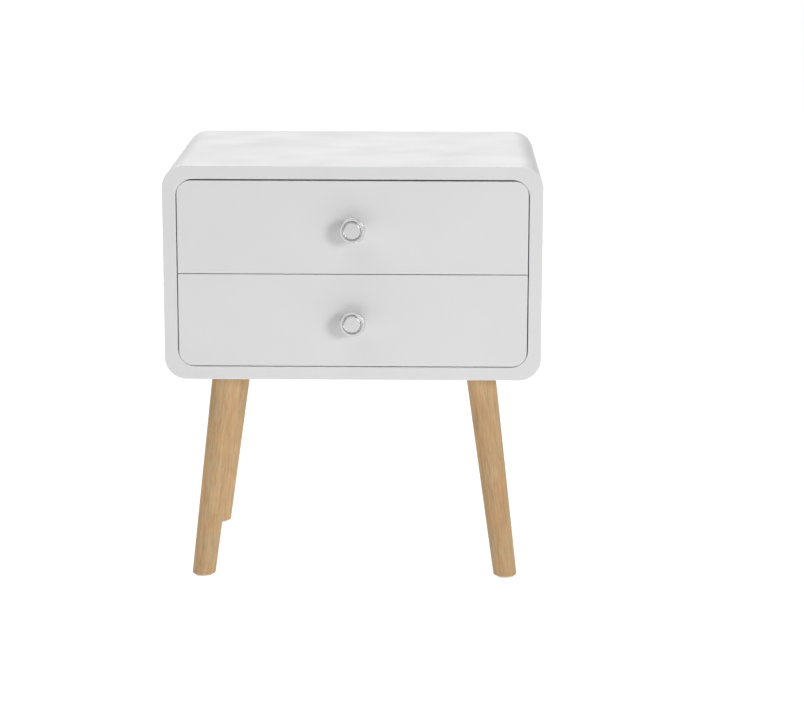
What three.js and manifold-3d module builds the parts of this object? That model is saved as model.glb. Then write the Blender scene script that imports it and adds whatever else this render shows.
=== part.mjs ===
// A bedside cabinet: a lacquered wrap with round corners, two drawers on telescopic
// runners and four splayed wooden legs. Millimetres, +Z up, drawers open towards -Y.
// The origin is on the floor, under the middle of the whole object, knobs included.

import * as THREE from "three";
import { mergeVertices } from "three/addons/utils/BufferGeometryUtils.js";
import Module from "manifold-3d";

const wasm = await Module();
wasm.setup();

// Cabinet wrap
const CABINET_WIDTH = 480;
const CABINET_DEPTH = 350;
const CABINET_HEIGHT = 275;
const WALL = 17;
const OUTER_CORNER_RADIUS = 28;
const OPENING_CORNER_RADIUS = 22;

// Back panel, in a rebate cut round the rear of the wrap
const REBATE_WIDTH = 8;
const BACK_PANEL_THICKNESS = 5;
const BACK_PANEL_RECESS = 3; // from the rear rim of the wrap in to the panel
const BACK_PANEL_CLEARANCE = 0.5;
const BACK_SCREW_SPREAD = 240; // between the two screws of the top edge, and of the bottom edge
const BACK_SCREW_SHANK_DIAMETER = 3;
const BACK_SCREW_HEAD_DIAMETER = 7;
const BACK_SCREW_HEAD_HEIGHT = 2;
const BACK_SCREW_GRIP = 14; // length of thread in the wrap

// Drawer fronts, flush with the front of the wrap
const FRONT_THICKNESS = 16;
const TOP_GAP = 1.9;
const SIDE_GAP = 1.2;
const MIDDLE_GAP = 0.9;
const BOTTOM_GAP = 1;
const CORNER_GAP = 0.2; // at the middle of each round corner of the opening

// Drawer boxes
const BOX_SIDE_THICKNESS = 12;
const BOX_SIDE_HEIGHT = 80;
const BOX_BACK_THICKNESS = 12;
const BOX_RAISE = 12; // from the bottom edge of the front up to the box
const BOX_REAR_CLEARANCE = 16; // from the box to the rebate of the back panel
const BOTTOM_THICKNESS = 4;
const BOTTOM_RAISE = 8; // from the bottom edge of the box sides up to the bottom panel
const GROOVE_DEPTH = 5;
const GROOVE_CLEARANCE = 0.25;

// Telescopic runners: a cabinet member, a middle member and a drawer member
const RUNNER_SPACE = 12.75; // between the wrap and the drawer box
const RUNNER_HEIGHT = 35;
const RUNNER_GAUGE = 1.25; // sheet thickness
const RUNNER_SETBACK = 5; // from each end of the drawer box
const MEMBER_CLEARANCE = 1.5; // between the webs and lips of two members
const BALL_RACE = 3; // between the flanges of two members
const LIP = 2.5;

// Knobs
const KNOB_DIAMETER = 33;
const KNOB_PROJECTION = 25;
const KNOB_GROOVE_WIDTH = 2.2; // between the rim and the disc
const KNOB_DISC_CHAMFER = 0.6;
const KNOB_RIM_RADIUS = 1.9; // of the half-round section of the rim
const KNOB_RIM_DROP = 0.9; // from the face of the disc back to the crest of the rim
const KNOB_GROOVE_DEPTH = 3;
const KNOB_HEAD_THICKNESS = 12;
const KNOB_NECK_DIAMETER = 12;
const KNOB_FOOT_DIAMETER = 18;
const KNOB_FOOT_THICKNESS = 1.2;
const KNOB_FOOT_FLARE = 4;
const KNOB_SCREW_DIAMETER = 4;
const KNOB_SCREW_GRIP = 10; // length of thread in the knob
const KNOB_SCREW_HEAD_DIAMETER = 8.5;
const KNOB_SCREW_HEAD_HEIGHT = 2.4;
const KNOB_SCREW_HEAD_CHAMFER = 1.2;

// Legs: round, tapered and splayed sideways, each on a steel plate
const LEG_HEIGHT = 275; // from the floor to the underside of the cabinet
const LEG_TOP_DIAMETER = 38;
const LEG_FOOT_DIAMETER = 30;
const LEG_SPLAY = THREE.MathUtils.degToRad(7.25);
const LEG_INSET_X = 76; // from the cabinet's side to the leg's axis at the underside
const LEG_INSET_Y = 47.5; // from the cabinet's front and back to the leg's axis
const PLATE_SIZE = 58;
const PLATE_THICKNESS = 2.5;
const PLATE_CORNER_RADIUS = 6;
const PLATE_SCREW_INSET = 8;
const PLATE_SCREW_HOLE_DIAMETER = 5;
const HANGER_BOLT_DIAMETER = 8;
const HANGER_BOLT_RISE = 11; // up into the bottom of the cabinet
const HANGER_BOLT_SINK = 32; // down into the leg
const GLIDE_DIAMETER = 22;
const GLIDE_THICKNESS = 2.5;
const GLIDE_CHAMFER = 0.8;
const GLIDE_PIN_DIAMETER = 3;
const GLIDE_PIN_LENGTH = 12;

// Fits
const GLUE_LINE = 0.1; // between faces that are glued or screwed together
const HOLE_CLEARANCE = 0.35; // round a screw, bolt or pin in its hole
const OVERCUT = 1; // how far a cutting solid runs past what it cuts

// Fineness of round shapes
const ARC_STEPS = 6; // half the straight steps in each arc of an outline
const ROUND_STEPS = 32;
const SMALL_ROUND_STEPS = 16; // on screws, pins and their holes
const KNOB_CURVE_STEPS = 3; // half the straight steps in the rim's arc

const CORNER_BLOCK = WALL + OPENING_CORNER_RADIUS;
const OPENING_WIDTH = CABINET_WIDTH - 2 * WALL;
const OPENING_HEIGHT = CABINET_HEIGHT - 2 * WALL;
const REBATE_DEPTH = BACK_PANEL_THICKNESS + BACK_PANEL_RECESS;
const FRONT_WIDTH = OPENING_WIDTH - 2 * SIDE_GAP;
const FRONT_HEIGHT = (OPENING_HEIGHT - TOP_GAP - MIDDLE_GAP - BOTTOM_GAP) / 2;
const BOX_WIDTH = OPENING_WIDTH - 2 * RUNNER_SPACE;
const BOX_END = CABINET_DEPTH - REBATE_DEPTH - BOX_REAR_CLEARANCE;
const BOX_INNER_HALF = BOX_WIDTH / 2 - BOX_SIDE_THICKNESS;
const BOTTOM_LOW = BOX_RAISE + BOTTOM_RAISE;
const BOTTOM_HIGH = BOTTOM_LOW + BOTTOM_THICKNESS;
const RUNNER_LENGTH = BOX_END - FRONT_THICKNESS - 2 * RUNNER_SETBACK;
const FRONT_Y = (KNOB_PROJECTION - CABINET_DEPTH) / 2; // centres the whole object on the origin

const LACQUER = { color: 0xf2f2f1, roughness: 0.42, metalness: 0 };
const OAK = { color: 0xc79f6e, roughness: 0.55, metalness: 0 };
const BOARD = { color: 0xe9e7e2, roughness: 0.6, metalness: 0 };
const ZINC_STEEL = { color: 0xb4b7ba, roughness: 0.35, metalness: 1 };
const CHROME = { color: 0xd8dadc, roughness: 0.18, metalness: 1 };
const NYLON = { color: 0xe4e2dc, roughness: 0.5, metalness: 0 };

const SIDES = [
  { name: "left", sign: -1 },
  { name: "right", sign: 1 },
];

// ---- Making solids ----

// A box from the low and high limits along each axis.
function block([x0, x1], [y0, y1], [z0, z1]) {
  return new THREE.BoxGeometry(x1 - x0, y1 - y0, z1 - z0)
    .translate((x0 + x1) / 2, (y0 + y1) / 2, (z0 + z1) / 2);
}

// A rectangle round the origin. The radii run counter-clockwise from the top right corner.
function roundedRect(width, height, radii) {
  const corners = [[1, 1], [-1, 1], [-1, -1], [1, -1]];
  const shape = new THREE.Shape();
  corners.forEach(([signX, signY], i) => {
    const radius = radii[i];
    const startAngle = (i * Math.PI) / 2;
    const centreX = signX * (width / 2 - radius);
    const centreY = signY * (height / 2 - radius);
    shape.absarc(centreX, centreY, radius, startAngle, startAngle + Math.PI / 2, false);
  });
  return shape;
}

// A round hole for an outline.
function roundHole(x, y, diameter) {
  return new THREE.Path().absarc(x, y, diameter / 2, 0, 2 * Math.PI, true);
}

// A straight-sided outline.
function polygon(points) {
  return new THREE.Shape(points.map(([x, y]) => new THREE.Vector2(x, y)));
}

// An outline in the X-Z plane, carried from y = 0 to y = length.
function prismAlongY(shape, length) {
  return prismAlongZ(shape, length).rotateX(Math.PI / 2).translate(0, length, 0);
}

// An outline in the X-Y plane, carried from z = 0 to z = length.
function prismAlongZ(shape, length) {
  return new THREE.ExtrudeGeometry(shape, {
    depth: length,
    bevelEnabled: false,
    curveSegments: ARC_STEPS,
  });
}

// A turned piece about Y. Its profile runs from low y to high y, on the axis at both ends.
function turned(points, steps) {
  return new THREE.LatheGeometry(points.map(([r, y]) => new THREE.Vector2(r, y)), steps);
}

// A thin round bar about Y.
function barAlongY(diameter, y0, y1) {
  const profile = [[0, y0], [diameter / 2, y0], [diameter / 2, y1], [0, y1]];
  return turned(profile, SMALL_ROUND_STEPS);
}

function toSolid(geometry) {
  const bare = geometry.clone();
  bare.deleteAttribute("normal");
  bare.deleteAttribute("uv");
  const merged = mergeVertices(bare);
  return new wasm.Manifold(new wasm.Mesh({
    numProp: 3,
    vertProperties: merged.attributes.position.array,
    triVerts: new Uint32Array(merged.index.array),
  }));
}

function toGeometry(solid) {
  const mesh = solid.getMesh();
  const geometry = new THREE.BufferGeometry();
  geometry.setAttribute("position", new THREE.BufferAttribute(mesh.vertProperties, mesh.numProp));
  geometry.setIndex(new THREE.BufferAttribute(mesh.triVerts, 1));
  geometry.computeVertexNormals();
  return geometry;
}

function cut(geometry, tools) {
  return toGeometry(tools.reduce((rest, tool) => rest.subtract(toSolid(tool)), toSolid(geometry)));
}

function keepInside(geometry, limits) {
  return toGeometry(toSolid(geometry).intersect(toSolid(limits)));
}

function piece(name, geometry, finish) {
  const mesh = new THREE.Mesh(geometry, new THREE.MeshStandardMaterial(finish));
  mesh.name = name;
  return mesh;
}

// ---- Legs ----
// A leg stands in its own frame: the origin is where its axis meets the underside of the
// cabinet, and its foot leans towards +X.

const LEG_PLACES = SIDES.flatMap((side) => [
  { name: "front_" + side.name, sign: side.sign, y: LEG_INSET_Y },
  { name: "back_" + side.name, sign: side.sign, y: CABINET_DEPTH - LEG_INSET_Y },
]);

// The turn and shift that take a leg from its own frame to the cabinet's.
function placeLeg(object, place) {
  object.rotateZ(place.sign < 0 ? Math.PI : 0);
  object.position.set(place.sign * (CABINET_WIDTH / 2 - LEG_INSET_X), place.y, 0);
}

// A round bar on the leg's axis, between two distances down from the underside.
function barOnLegAxis(start, end, startDiameter, endDiameter) {
  return new THREE.CylinderGeometry(startDiameter / 2, endDiameter / 2, end - start, ROUND_STEPS)
    .rotateX(Math.PI / 2)
    .translate(0, 0, -(start + end) / 2)
    .rotateY(-LEG_SPLAY);
}

function glidePin(diameter) {
  const footX = LEG_HEIGHT * Math.tan(LEG_SPLAY);
  const pinBase = GLIDE_THICKNESS - LEG_HEIGHT;
  return barAlongY(diameter, 0, GLIDE_PIN_LENGTH + (diameter - GLIDE_PIN_DIAMETER) / 2)
    .rotateX(Math.PI / 2)
    .translate(footX, 0, pinBase);
}

function leg() {
  const axisLength = LEG_HEIGHT / Math.cos(LEG_SPLAY);
  const spare = LEG_TOP_DIAMETER * Math.tan(LEG_SPLAY);
  const taper = (LEG_TOP_DIAMETER - LEG_FOOT_DIAMETER) / axisLength;
  const blank = barOnLegAxis(
    -spare,
    axisLength + spare,
    LEG_TOP_DIAMETER + taper * spare,
    LEG_FOOT_DIAMETER - taper * spare,
  );
  const footZ = GLIDE_THICKNESS + GLUE_LINE - LEG_HEIGHT;
  const topZ = -PLATE_THICKNESS - 2 * GLUE_LINE;
  const sideways = [-axisLength, axisLength]; // well beyond the blank
  const levelled = keepInside(blank, block(sideways, sideways, [footZ, topZ]));
  const boltHole = HANGER_BOLT_DIAMETER + 2 * HOLE_CLEARANCE;
  return cut(levelled, [
    barOnLegAxis(-OVERCUT, HANGER_BOLT_SINK + HOLE_CLEARANCE, boltHole, boltHole),
    glidePin(GLIDE_PIN_DIAMETER + 2 * HOLE_CLEARANCE),
  ]);
}

function legPlate() {
  const shape = roundedRect(PLATE_SIZE, PLATE_SIZE, Array(4).fill(PLATE_CORNER_RADIUS));
  const slant = PLATE_THICKNESS * Math.tan(LEG_SPLAY);
  shape.holes.push(roundHole(0, 0, HANGER_BOLT_DIAMETER + 2 * (HOLE_CLEARANCE + slant)));
  const screw = PLATE_SIZE / 2 - PLATE_SCREW_INSET;
  for (const x of [-screw, screw]) {
    for (const y of [-screw, screw]) {
      shape.holes.push(roundHole(x, y, PLATE_SCREW_HOLE_DIAMETER));
    }
  }
  return prismAlongZ(shape, PLATE_THICKNESS).translate(0, 0, -PLATE_THICKNESS - GLUE_LINE);
}

function glide() {
  const radius = GLIDE_DIAMETER / 2;
  const disc = turned([
    [0, 0],
    [radius - GLIDE_CHAMFER, 0],
    [radius, GLIDE_CHAMFER],
    [radius, GLIDE_THICKNESS],
    [0, GLIDE_THICKNESS],
  ], ROUND_STEPS)
    .rotateX(Math.PI / 2)
    .translate(LEG_HEIGHT * Math.tan(LEG_SPLAY), 0, -LEG_HEIGHT);
  return toGeometry(toSolid(disc).add(toSolid(glidePin(GLIDE_PIN_DIAMETER))));
}

function legGroup(place) {
  const group = new THREE.Group();
  const bolt = barOnLegAxis(
    -HANGER_BOLT_RISE, HANGER_BOLT_SINK, HANGER_BOLT_DIAMETER, HANGER_BOLT_DIAMETER);
  group.add(
    piece("leg_" + place.name, leg(), OAK),
    piece("leg_plate_" + place.name, legPlate(), ZINC_STEEL),
    piece("hanger_bolt_" + place.name, bolt, ZINC_STEEL),
    piece("glide_" + place.name, glide(), NYLON),
  );
  placeLeg(group, place);
  return group;
}

// ---- Cabinet ----
// The cabinet's frame: x is 0 in the middle, y is 0 at the front, z is 0 at the underside.

// The hole that a leg's bolt needs in the bottom panel.
function boltHoleInPanel(place) {
  const holder = new THREE.Object3D();
  placeLeg(holder, place);
  holder.updateMatrix();
  const diameter = HANGER_BOLT_DIAMETER + 2 * HOLE_CLEARANCE;
  return barOnLegAxis(-HANGER_BOLT_RISE - HOLE_CLEARANCE, OVERCUT, diameter, diameter)
    .applyMatrix4(holder.matrix);
}

function frameOutline(margin) {
  return roundedRect(
    OPENING_WIDTH + 2 * margin,
    OPENING_HEIGHT + 2 * margin,
    Array(4).fill(OPENING_CORNER_RADIUS + margin),
  );
}

// The whole wrap, before it is parted into panels and corner blocks.
function wrap() {
  const middle = CABINET_HEIGHT / 2;
  const outer = roundedRect(CABINET_WIDTH, CABINET_HEIGHT, Array(4).fill(OUTER_CORNER_RADIUS));
  const opening = prismAlongY(frameOutline(0), CABINET_DEPTH + 2 * OVERCUT)
    .translate(0, -OVERCUT, 0);
  const rebate = prismAlongY(frameOutline(REBATE_WIDTH), REBATE_DEPTH + OVERCUT)
    .translate(0, CABINET_DEPTH - REBATE_DEPTH, 0);
  return cut(prismAlongY(outer, CABINET_DEPTH), [opening, rebate]).translate(0, 0, middle);
}

const BACK_SCREW_INSET = WALL - REBATE_WIDTH / 2; // from the outside of the wrap
const BACK_SCREW_PLACES = SIDES.flatMap(({ name, sign }) => {
  const nearX = (sign * BACK_SCREW_SPREAD) / 2;
  const farX = sign * (CABINET_WIDTH / 2 - BACK_SCREW_INSET);
  return [
    { name: "top_" + name, x: nearX, z: CABINET_HEIGHT - BACK_SCREW_INSET },
    { name: "bottom_" + name, x: nearX, z: BACK_SCREW_INSET },
    { name, x: farX, z: CABINET_HEIGHT / 2 },
  ];
});
const BACK_PANEL_Y = CABINET_DEPTH - REBATE_DEPTH + GLUE_LINE; // its inner face
const BACK_SCREW_HEAD_Y = BACK_PANEL_Y + BACK_PANEL_THICKNESS + GLUE_LINE;

function backScrew() {
  const shank = BACK_SCREW_SHANK_DIAMETER / 2;
  const head = BACK_SCREW_HEAD_DIAMETER / 2;
  return turned([
    [0, -BACK_PANEL_THICKNESS - BACK_SCREW_GRIP],
    [shank, -BACK_PANEL_THICKNESS - BACK_SCREW_GRIP + shank],
    [shank, 0],
    [head, 0],
    [head, BACK_SCREW_HEAD_HEIGHT / 2],
    [head / 2, BACK_SCREW_HEAD_HEIGHT],
    [0, BACK_SCREW_HEAD_HEIGHT],
  ], SMALL_ROUND_STEPS);
}

function backScrewHoles() {
  const diameter = BACK_SCREW_SHANK_DIAMETER + 2 * HOLE_CLEARANCE;
  const start = BACK_SCREW_HEAD_Y - BACK_PANEL_THICKNESS - BACK_SCREW_GRIP - HOLE_CLEARANCE;
  return BACK_SCREW_PLACES.map(({ x, z }) =>
    barAlongY(diameter, start, CABINET_DEPTH + OVERCUT).translate(x, 0, z));
}

function wrapPanels() {
  const whole = cut(wrap(), [...backScrewHoles(), ...LEG_PLACES.map(boltHoleInPanel)]);
  const halfGap = GLUE_LINE / 2;
  const depth = [-OVERCUT, CABINET_DEPTH + OVERCUT];
  const cornerX = CABINET_WIDTH / 2 - CORNER_BLOCK;
  const outerX = CABINET_WIDTH / 2 + OVERCUT;
  const levels = [
    { name: "bottom", z: [-OVERCUT, CORNER_BLOCK - halfGap] },
    { name: "top", z: [CABINET_HEIGHT - CORNER_BLOCK + halfGap, CABINET_HEIGHT + OVERCUT] },
  ];
  const panels = [];
  for (const level of levels) {
    const flat = block([-cornerX + halfGap, cornerX - halfGap], depth, level.z);
    panels.push(piece(level.name + "_panel", keepInside(whole, flat), LACQUER));
    for (const side of SIDES) {
      const x = [side.sign * (cornerX + halfGap), side.sign * outerX].sort((a, b) => a - b);
      const name = "corner_" + level.name + "_" + side.name;
      panels.push(piece(name, keepInside(whole, block(x, depth, level.z)), LACQUER));
    }
  }
  const uprightZ = [CORNER_BLOCK + halfGap, CABINET_HEIGHT - CORNER_BLOCK - halfGap];
  for (const side of SIDES) {
    const x = [side.sign * cornerX, side.sign * outerX].sort((a, b) => a - b);
    const upright = keepInside(whole, block(x, depth, uprightZ));
    panels.push(piece(side.name + "_side_panel", upright, LACQUER));
  }
  return panels;
}

function backPanel() {
  const outline = frameOutline(REBATE_WIDTH - BACK_PANEL_CLEARANCE);
  const board = prismAlongY(outline, BACK_PANEL_THICKNESS)
    .translate(0, BACK_PANEL_Y, CABINET_HEIGHT / 2);
  return cut(board, backScrewHoles());
}

// ---- Runners ----
// A section's points are [distance in from the wrap, height above the runner's centre line].

// A channel from its web to its open end, where two lips turn in.
function channelSection({ web, open, height }) {
  const gauge = Math.sign(open - web) * RUNNER_GAUGE;
  const half = height / 2;
  const upper = [
    [web + gauge, half - RUNNER_GAUGE],
    [open - gauge, half - RUNNER_GAUGE],
    [open - gauge, half - LIP],
    [open, half - LIP],
    [open, half],
    [web, half],
  ];
  const lower = upper.map(([u, v]) => [u, -v]).reverse();
  return [...upper, ...lower];
}

const NEST_STEP = RUNNER_GAUGE + MEMBER_CLEARANCE; // from one web to the next
const MIDDLE_MEMBER_HEIGHT = RUNNER_HEIGHT - 2 * (RUNNER_GAUGE + BALL_RACE);
const DRAWER_MEMBER_HEIGHT = MIDDLE_MEMBER_HEIGHT - 2 * (RUNNER_GAUGE + BALL_RACE);
const RUNNER_MEMBERS = [
  {
    name: "cabinet_runner",
    web: GLUE_LINE,
    open: RUNNER_SPACE - 2 * MEMBER_CLEARANCE,
    height: RUNNER_HEIGHT,
  },
  {
    name: "middle_runner",
    web: GLUE_LINE + NEST_STEP,
    open: RUNNER_SPACE - MEMBER_CLEARANCE,
    height: MIDDLE_MEMBER_HEIGHT,
  },
  {
    name: "drawer_runner",
    web: RUNNER_SPACE - GLUE_LINE,
    open: GLUE_LINE + 2 * NEST_STEP,
    height: DRAWER_MEMBER_HEIGHT,
  },
];

// ---- Drawers ----
// A drawer's frame: x is 0 in the middle, y is 0 at the front's face, z is 0 at its lower edge.

function knob() {
  const rimCentre = KNOB_DIAMETER / 2 - KNOB_RIM_RADIUS;
  const grooveOuter = rimCentre - KNOB_RIM_RADIUS;
  const rimY = KNOB_RIM_DROP + KNOB_RIM_RADIUS - KNOB_PROJECTION;
  const disc = grooveOuter - KNOB_GROOVE_WIDTH;
  const grooveY = KNOB_GROOVE_DEPTH - KNOB_PROJECTION;
  const neck = KNOB_NECK_DIAMETER / 2;
  const neckY = KNOB_HEAD_THICKNESS - KNOB_PROJECTION;
  const foot = KNOB_FOOT_DIAMETER / 2;
  const bore = KNOB_SCREW_DIAMETER / 2 + HOLE_CLEARANCE;
  const profile = new THREE.Path()
    .moveTo(0, -KNOB_PROJECTION)
    .lineTo(disc - KNOB_DISC_CHAMFER, -KNOB_PROJECTION)
    .lineTo(disc, KNOB_DISC_CHAMFER - KNOB_PROJECTION)
    .lineTo(disc, grooveY)
    .lineTo(grooveOuter, grooveY)
    .absarc(rimCentre, rimY, KNOB_RIM_RADIUS, Math.PI, 2 * Math.PI, false)
    .quadraticCurveTo(KNOB_DIAMETER / 2, (rimY + neckY) / 2, neck, neckY)
    .lineTo(neck, -KNOB_FOOT_FLARE)
    .quadraticCurveTo(neck, -KNOB_FOOT_THICKNESS, foot, -KNOB_FOOT_THICKNESS)
    .lineTo(foot, -GLUE_LINE)
    .lineTo(bore, -GLUE_LINE)
    .lineTo(bore, -KNOB_SCREW_GRIP - HOLE_CLEARANCE)
    .lineTo(0, -KNOB_SCREW_GRIP - HOLE_CLEARANCE);
  return new THREE.LatheGeometry(profile.getPoints(KNOB_CURVE_STEPS), ROUND_STEPS);
}

function knobScrew() {
  const shank = KNOB_SCREW_DIAMETER / 2;
  const head = KNOB_SCREW_HEAD_DIAMETER / 2;
  const seat = FRONT_THICKNESS + GLUE_LINE;
  return turned([
    [0, -KNOB_SCREW_GRIP],
    [shank, -KNOB_SCREW_GRIP],
    [shank, seat],
    [head, seat],
    [head, seat + KNOB_SCREW_HEAD_HEIGHT - KNOB_SCREW_HEAD_CHAMFER],
    [head - KNOB_SCREW_HEAD_CHAMFER, seat + KNOB_SCREW_HEAD_HEIGHT],
    [0, seat + KNOB_SCREW_HEAD_HEIGHT],
  ], SMALL_ROUND_STEPS);
}

function drawerFront(radii) {
  const outline = roundedRect(FRONT_WIDTH, FRONT_HEIGHT, radii);
  outline.holes.push(roundHole(0, 0, KNOB_SCREW_DIAMETER + 2 * HOLE_CLEARANCE));
  const board = prismAlongY(outline, FRONT_THICKNESS).translate(0, 0, FRONT_HEIGHT / 2);
  const grooveHalf = BOX_INNER_HALF + GROOVE_DEPTH;
  const groove = block(
    [-grooveHalf, grooveHalf],
    [FRONT_THICKNESS - GROOVE_DEPTH, FRONT_THICKNESS + OVERCUT],
    [BOTTOM_LOW - GROOVE_CLEARANCE, BOTTOM_HIGH + GROOVE_CLEARANCE],
  );
  return cut(board, [groove]);
}

function drawerSide(sign) {
  const inner = BOX_INNER_HALF;
  const outer = BOX_WIDTH / 2;
  const top = BOX_RAISE + BOX_SIDE_HEIGHT;
  const outline = [
    [inner, BOX_RAISE],
    [outer, BOX_RAISE],
    [outer, top],
    [inner, top],
    [inner, BOTTOM_HIGH + GROOVE_CLEARANCE],
    [inner + GROOVE_DEPTH, BOTTOM_HIGH + GROOVE_CLEARANCE],
    [inner + GROOVE_DEPTH, BOTTOM_LOW - GROOVE_CLEARANCE],
    [inner, BOTTOM_LOW - GROOVE_CLEARANCE],
  ].map(([x, z]) => [sign * x, z]);
  const start = FRONT_THICKNESS + GLUE_LINE;
  return prismAlongY(polygon(outline), BOX_END - start).translate(0, start, 0);
}

function drawerBottom() {
  const half = BOX_INNER_HALF + GROOVE_DEPTH - GROOVE_CLEARANCE;
  const start = FRONT_THICKNESS - GROOVE_DEPTH + GROOVE_CLEARANCE;
  return block([-half, half], [start, BOX_END], [BOTTOM_LOW, BOTTOM_HIGH]);
}

function drawerBack() {
  const half = BOX_INNER_HALF - GLUE_LINE;
  return block(
    [-half, half],
    [BOX_END - BOX_BACK_THICKNESS, BOX_END],
    [BOTTOM_HIGH + GLUE_LINE, BOX_RAISE + BOX_SIDE_HEIGHT],
  );
}

function drawerRunners(level) {
  const centreZ = BOX_RAISE + BOX_SIDE_HEIGHT / 2;
  const startY = FRONT_THICKNESS + RUNNER_SETBACK;
  const pieces = [];
  for (const side of SIDES) {
    for (const member of RUNNER_MEMBERS) {
      const outline = channelSection(member)
        .map(([u, v]) => [side.sign * (OPENING_WIDTH / 2 - u), v]);
      const rail = prismAlongY(polygon(outline), RUNNER_LENGTH).translate(0, startY, centreZ);
      pieces.push(piece(level.name + "_" + side.name + "_" + member.name, rail, ZINC_STEEL));
    }
  }
  return pieces;
}

// The radius that keeps CORNER_GAP between a front's corner and the opening's.
function frontCornerRadius(endGap) {
  const spare = (SIDE_GAP + endGap) / Math.SQRT2 - CORNER_GAP;
  return OPENING_CORNER_RADIUS - spare / (Math.SQRT2 - 1);
}

function drawerGroup(level) {
  const group = new THREE.Group();
  const name = level.name + "_drawer_";
  const knobPieces = [
    piece(level.name + "_knob", knob(), CHROME),
    piece(level.name + "_knob_screw", knobScrew(), ZINC_STEEL),
  ];
  for (const knobPiece of knobPieces) {
    knobPiece.position.z = FRONT_HEIGHT / 2;
  }
  group.add(
    piece(name + "front", drawerFront(level.radii), LACQUER),
    ...SIDES.map((side) => piece(name + side.name + "_side", drawerSide(side.sign), BOARD)),
    piece(name + "back", drawerBack(), BOARD),
    piece(name + "bottom", drawerBottom(), BOARD),
    ...knobPieces,
    ...drawerRunners(level),
  );
  group.position.z = level.z;
  return group;
}

// ---- The whole object ----

const cabinet = new THREE.Group();
cabinet.position.set(0, FRONT_Y, LEG_HEIGHT);
cabinet.add(...wrapPanels(), piece("back_panel", backPanel(), BOARD));

for (const place of BACK_SCREW_PLACES) {
  const screw = piece("back_screw_" + place.name, backScrew(), ZINC_STEEL);
  screw.position.set(place.x, BACK_SCREW_HEAD_Y, place.z);
  cabinet.add(screw);
}

for (const place of LEG_PLACES) {
  cabinet.add(legGroup(place));
}

const LOWER_Z = WALL + BOTTOM_GAP;
const TOP_CORNER = frontCornerRadius(TOP_GAP);
const BOTTOM_CORNER = frontCornerRadius(BOTTOM_GAP);
const DRAWER_LEVELS = [
  { name: "lower", z: LOWER_Z, radii: [0, 0, BOTTOM_CORNER, BOTTOM_CORNER] },
  {
    name: "upper",
    z: LOWER_Z + FRONT_HEIGHT + MIDDLE_GAP,
    radii: [TOP_CORNER, TOP_CORNER, 0, 0],
  },
];
for (const level of DRAWER_LEVELS) {
  cabinet.add(drawerGroup(level));
}

const nightstand = new THREE.Group();
nightstand.add(cabinet);

export default nightstand;
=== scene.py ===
"""Dresses a bedside cabinet with two drawers.

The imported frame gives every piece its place. This script models the finished pieces on it,
with their rounded edges, bends, recesses and fittings, gives each one its finish, and sets
the cabinet in a pale studio. Everything is in metres, in the frame's own axes: +X to the
right, +Y to the back, +Z up, and the drawers open towards -Y.
"""

import logging
import math
from contextlib import contextmanager
from dataclasses import dataclass, field
from enum import Enum
from typing import Callable, Iterator, Sequence

import bmesh
import bpy
from mathutils import Matrix, Vector


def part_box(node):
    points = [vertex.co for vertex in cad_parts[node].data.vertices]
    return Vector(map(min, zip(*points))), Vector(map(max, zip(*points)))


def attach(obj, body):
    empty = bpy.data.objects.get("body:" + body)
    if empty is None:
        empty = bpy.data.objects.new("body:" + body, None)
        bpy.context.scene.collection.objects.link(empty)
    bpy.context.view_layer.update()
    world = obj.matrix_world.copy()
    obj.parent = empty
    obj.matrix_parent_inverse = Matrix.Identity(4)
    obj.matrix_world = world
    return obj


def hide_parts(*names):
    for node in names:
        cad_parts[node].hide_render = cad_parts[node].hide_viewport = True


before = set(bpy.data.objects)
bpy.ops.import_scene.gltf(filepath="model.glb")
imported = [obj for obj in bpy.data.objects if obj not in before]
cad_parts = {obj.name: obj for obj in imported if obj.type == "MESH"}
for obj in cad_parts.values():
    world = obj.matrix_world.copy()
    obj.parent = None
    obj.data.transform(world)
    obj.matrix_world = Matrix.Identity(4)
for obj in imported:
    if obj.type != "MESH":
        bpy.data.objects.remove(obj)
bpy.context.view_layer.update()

LOG = logging.getLogger("bedside_cabinet")
MM = 0.001
NEAR = 0.02 * MM  # two places closer than this are the same place
PARALLEL = 0.999  # two directions with a greater cosine than this are the same direction
AXES = {"X": Vector((1, 0, 0)), "Y": Vector((0, 1, 0)), "Z": Vector((0, 0, 1))}


class Slot(Enum):
    """The record's material slots."""

    LACQUER = "white_lacquer"
    BOARD = "white_board"
    OAK = "oiled_oak"
    CHROME = "satin_chrome"
    ZINC = "zinc_steel"
    NYLON = "pale_nylon"


class Side(Enum):
    """The two hands of the cabinet, with the sign of X on each."""

    LEFT = -1
    RIGHT = 1

    @property
    def word(self) -> str:
        """The side's word in the names of nodes."""
        return self.name.lower()


class Level(Enum):
    """The two drawers."""

    LOWER = "lower"
    UPPER = "upper"


class Pick(Enum):
    """What an edit-mode selection is made of."""

    CORNERS = "VERT"
    EDGES = "EDGE"
    FACES = "FACE"


# ---- The bench: shaping a mesh with operators ----


def clear_selection() -> None:
    """Deselects every object, so that an operator acts only on what is picked next."""
    bpy.ops.object.select_all(action="DESELECT")


def along(axis: str) -> Callable[[bmesh.types.BMEdge], bool]:
    """Makes a test for edges that run along an axis.

    Args:
        axis: "X", "Y" or "Z".

    Returns:
        A test that an edge passes if it is parallel to the axis.
    """

    def test(edge: bmesh.types.BMEdge) -> bool:
        """True if the edge runs along the axis."""
        run = (edge.verts[1].co - edge.verts[0].co).normalized()
        return abs(run.dot(AXES[axis])) > PARALLEL

    return test


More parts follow.
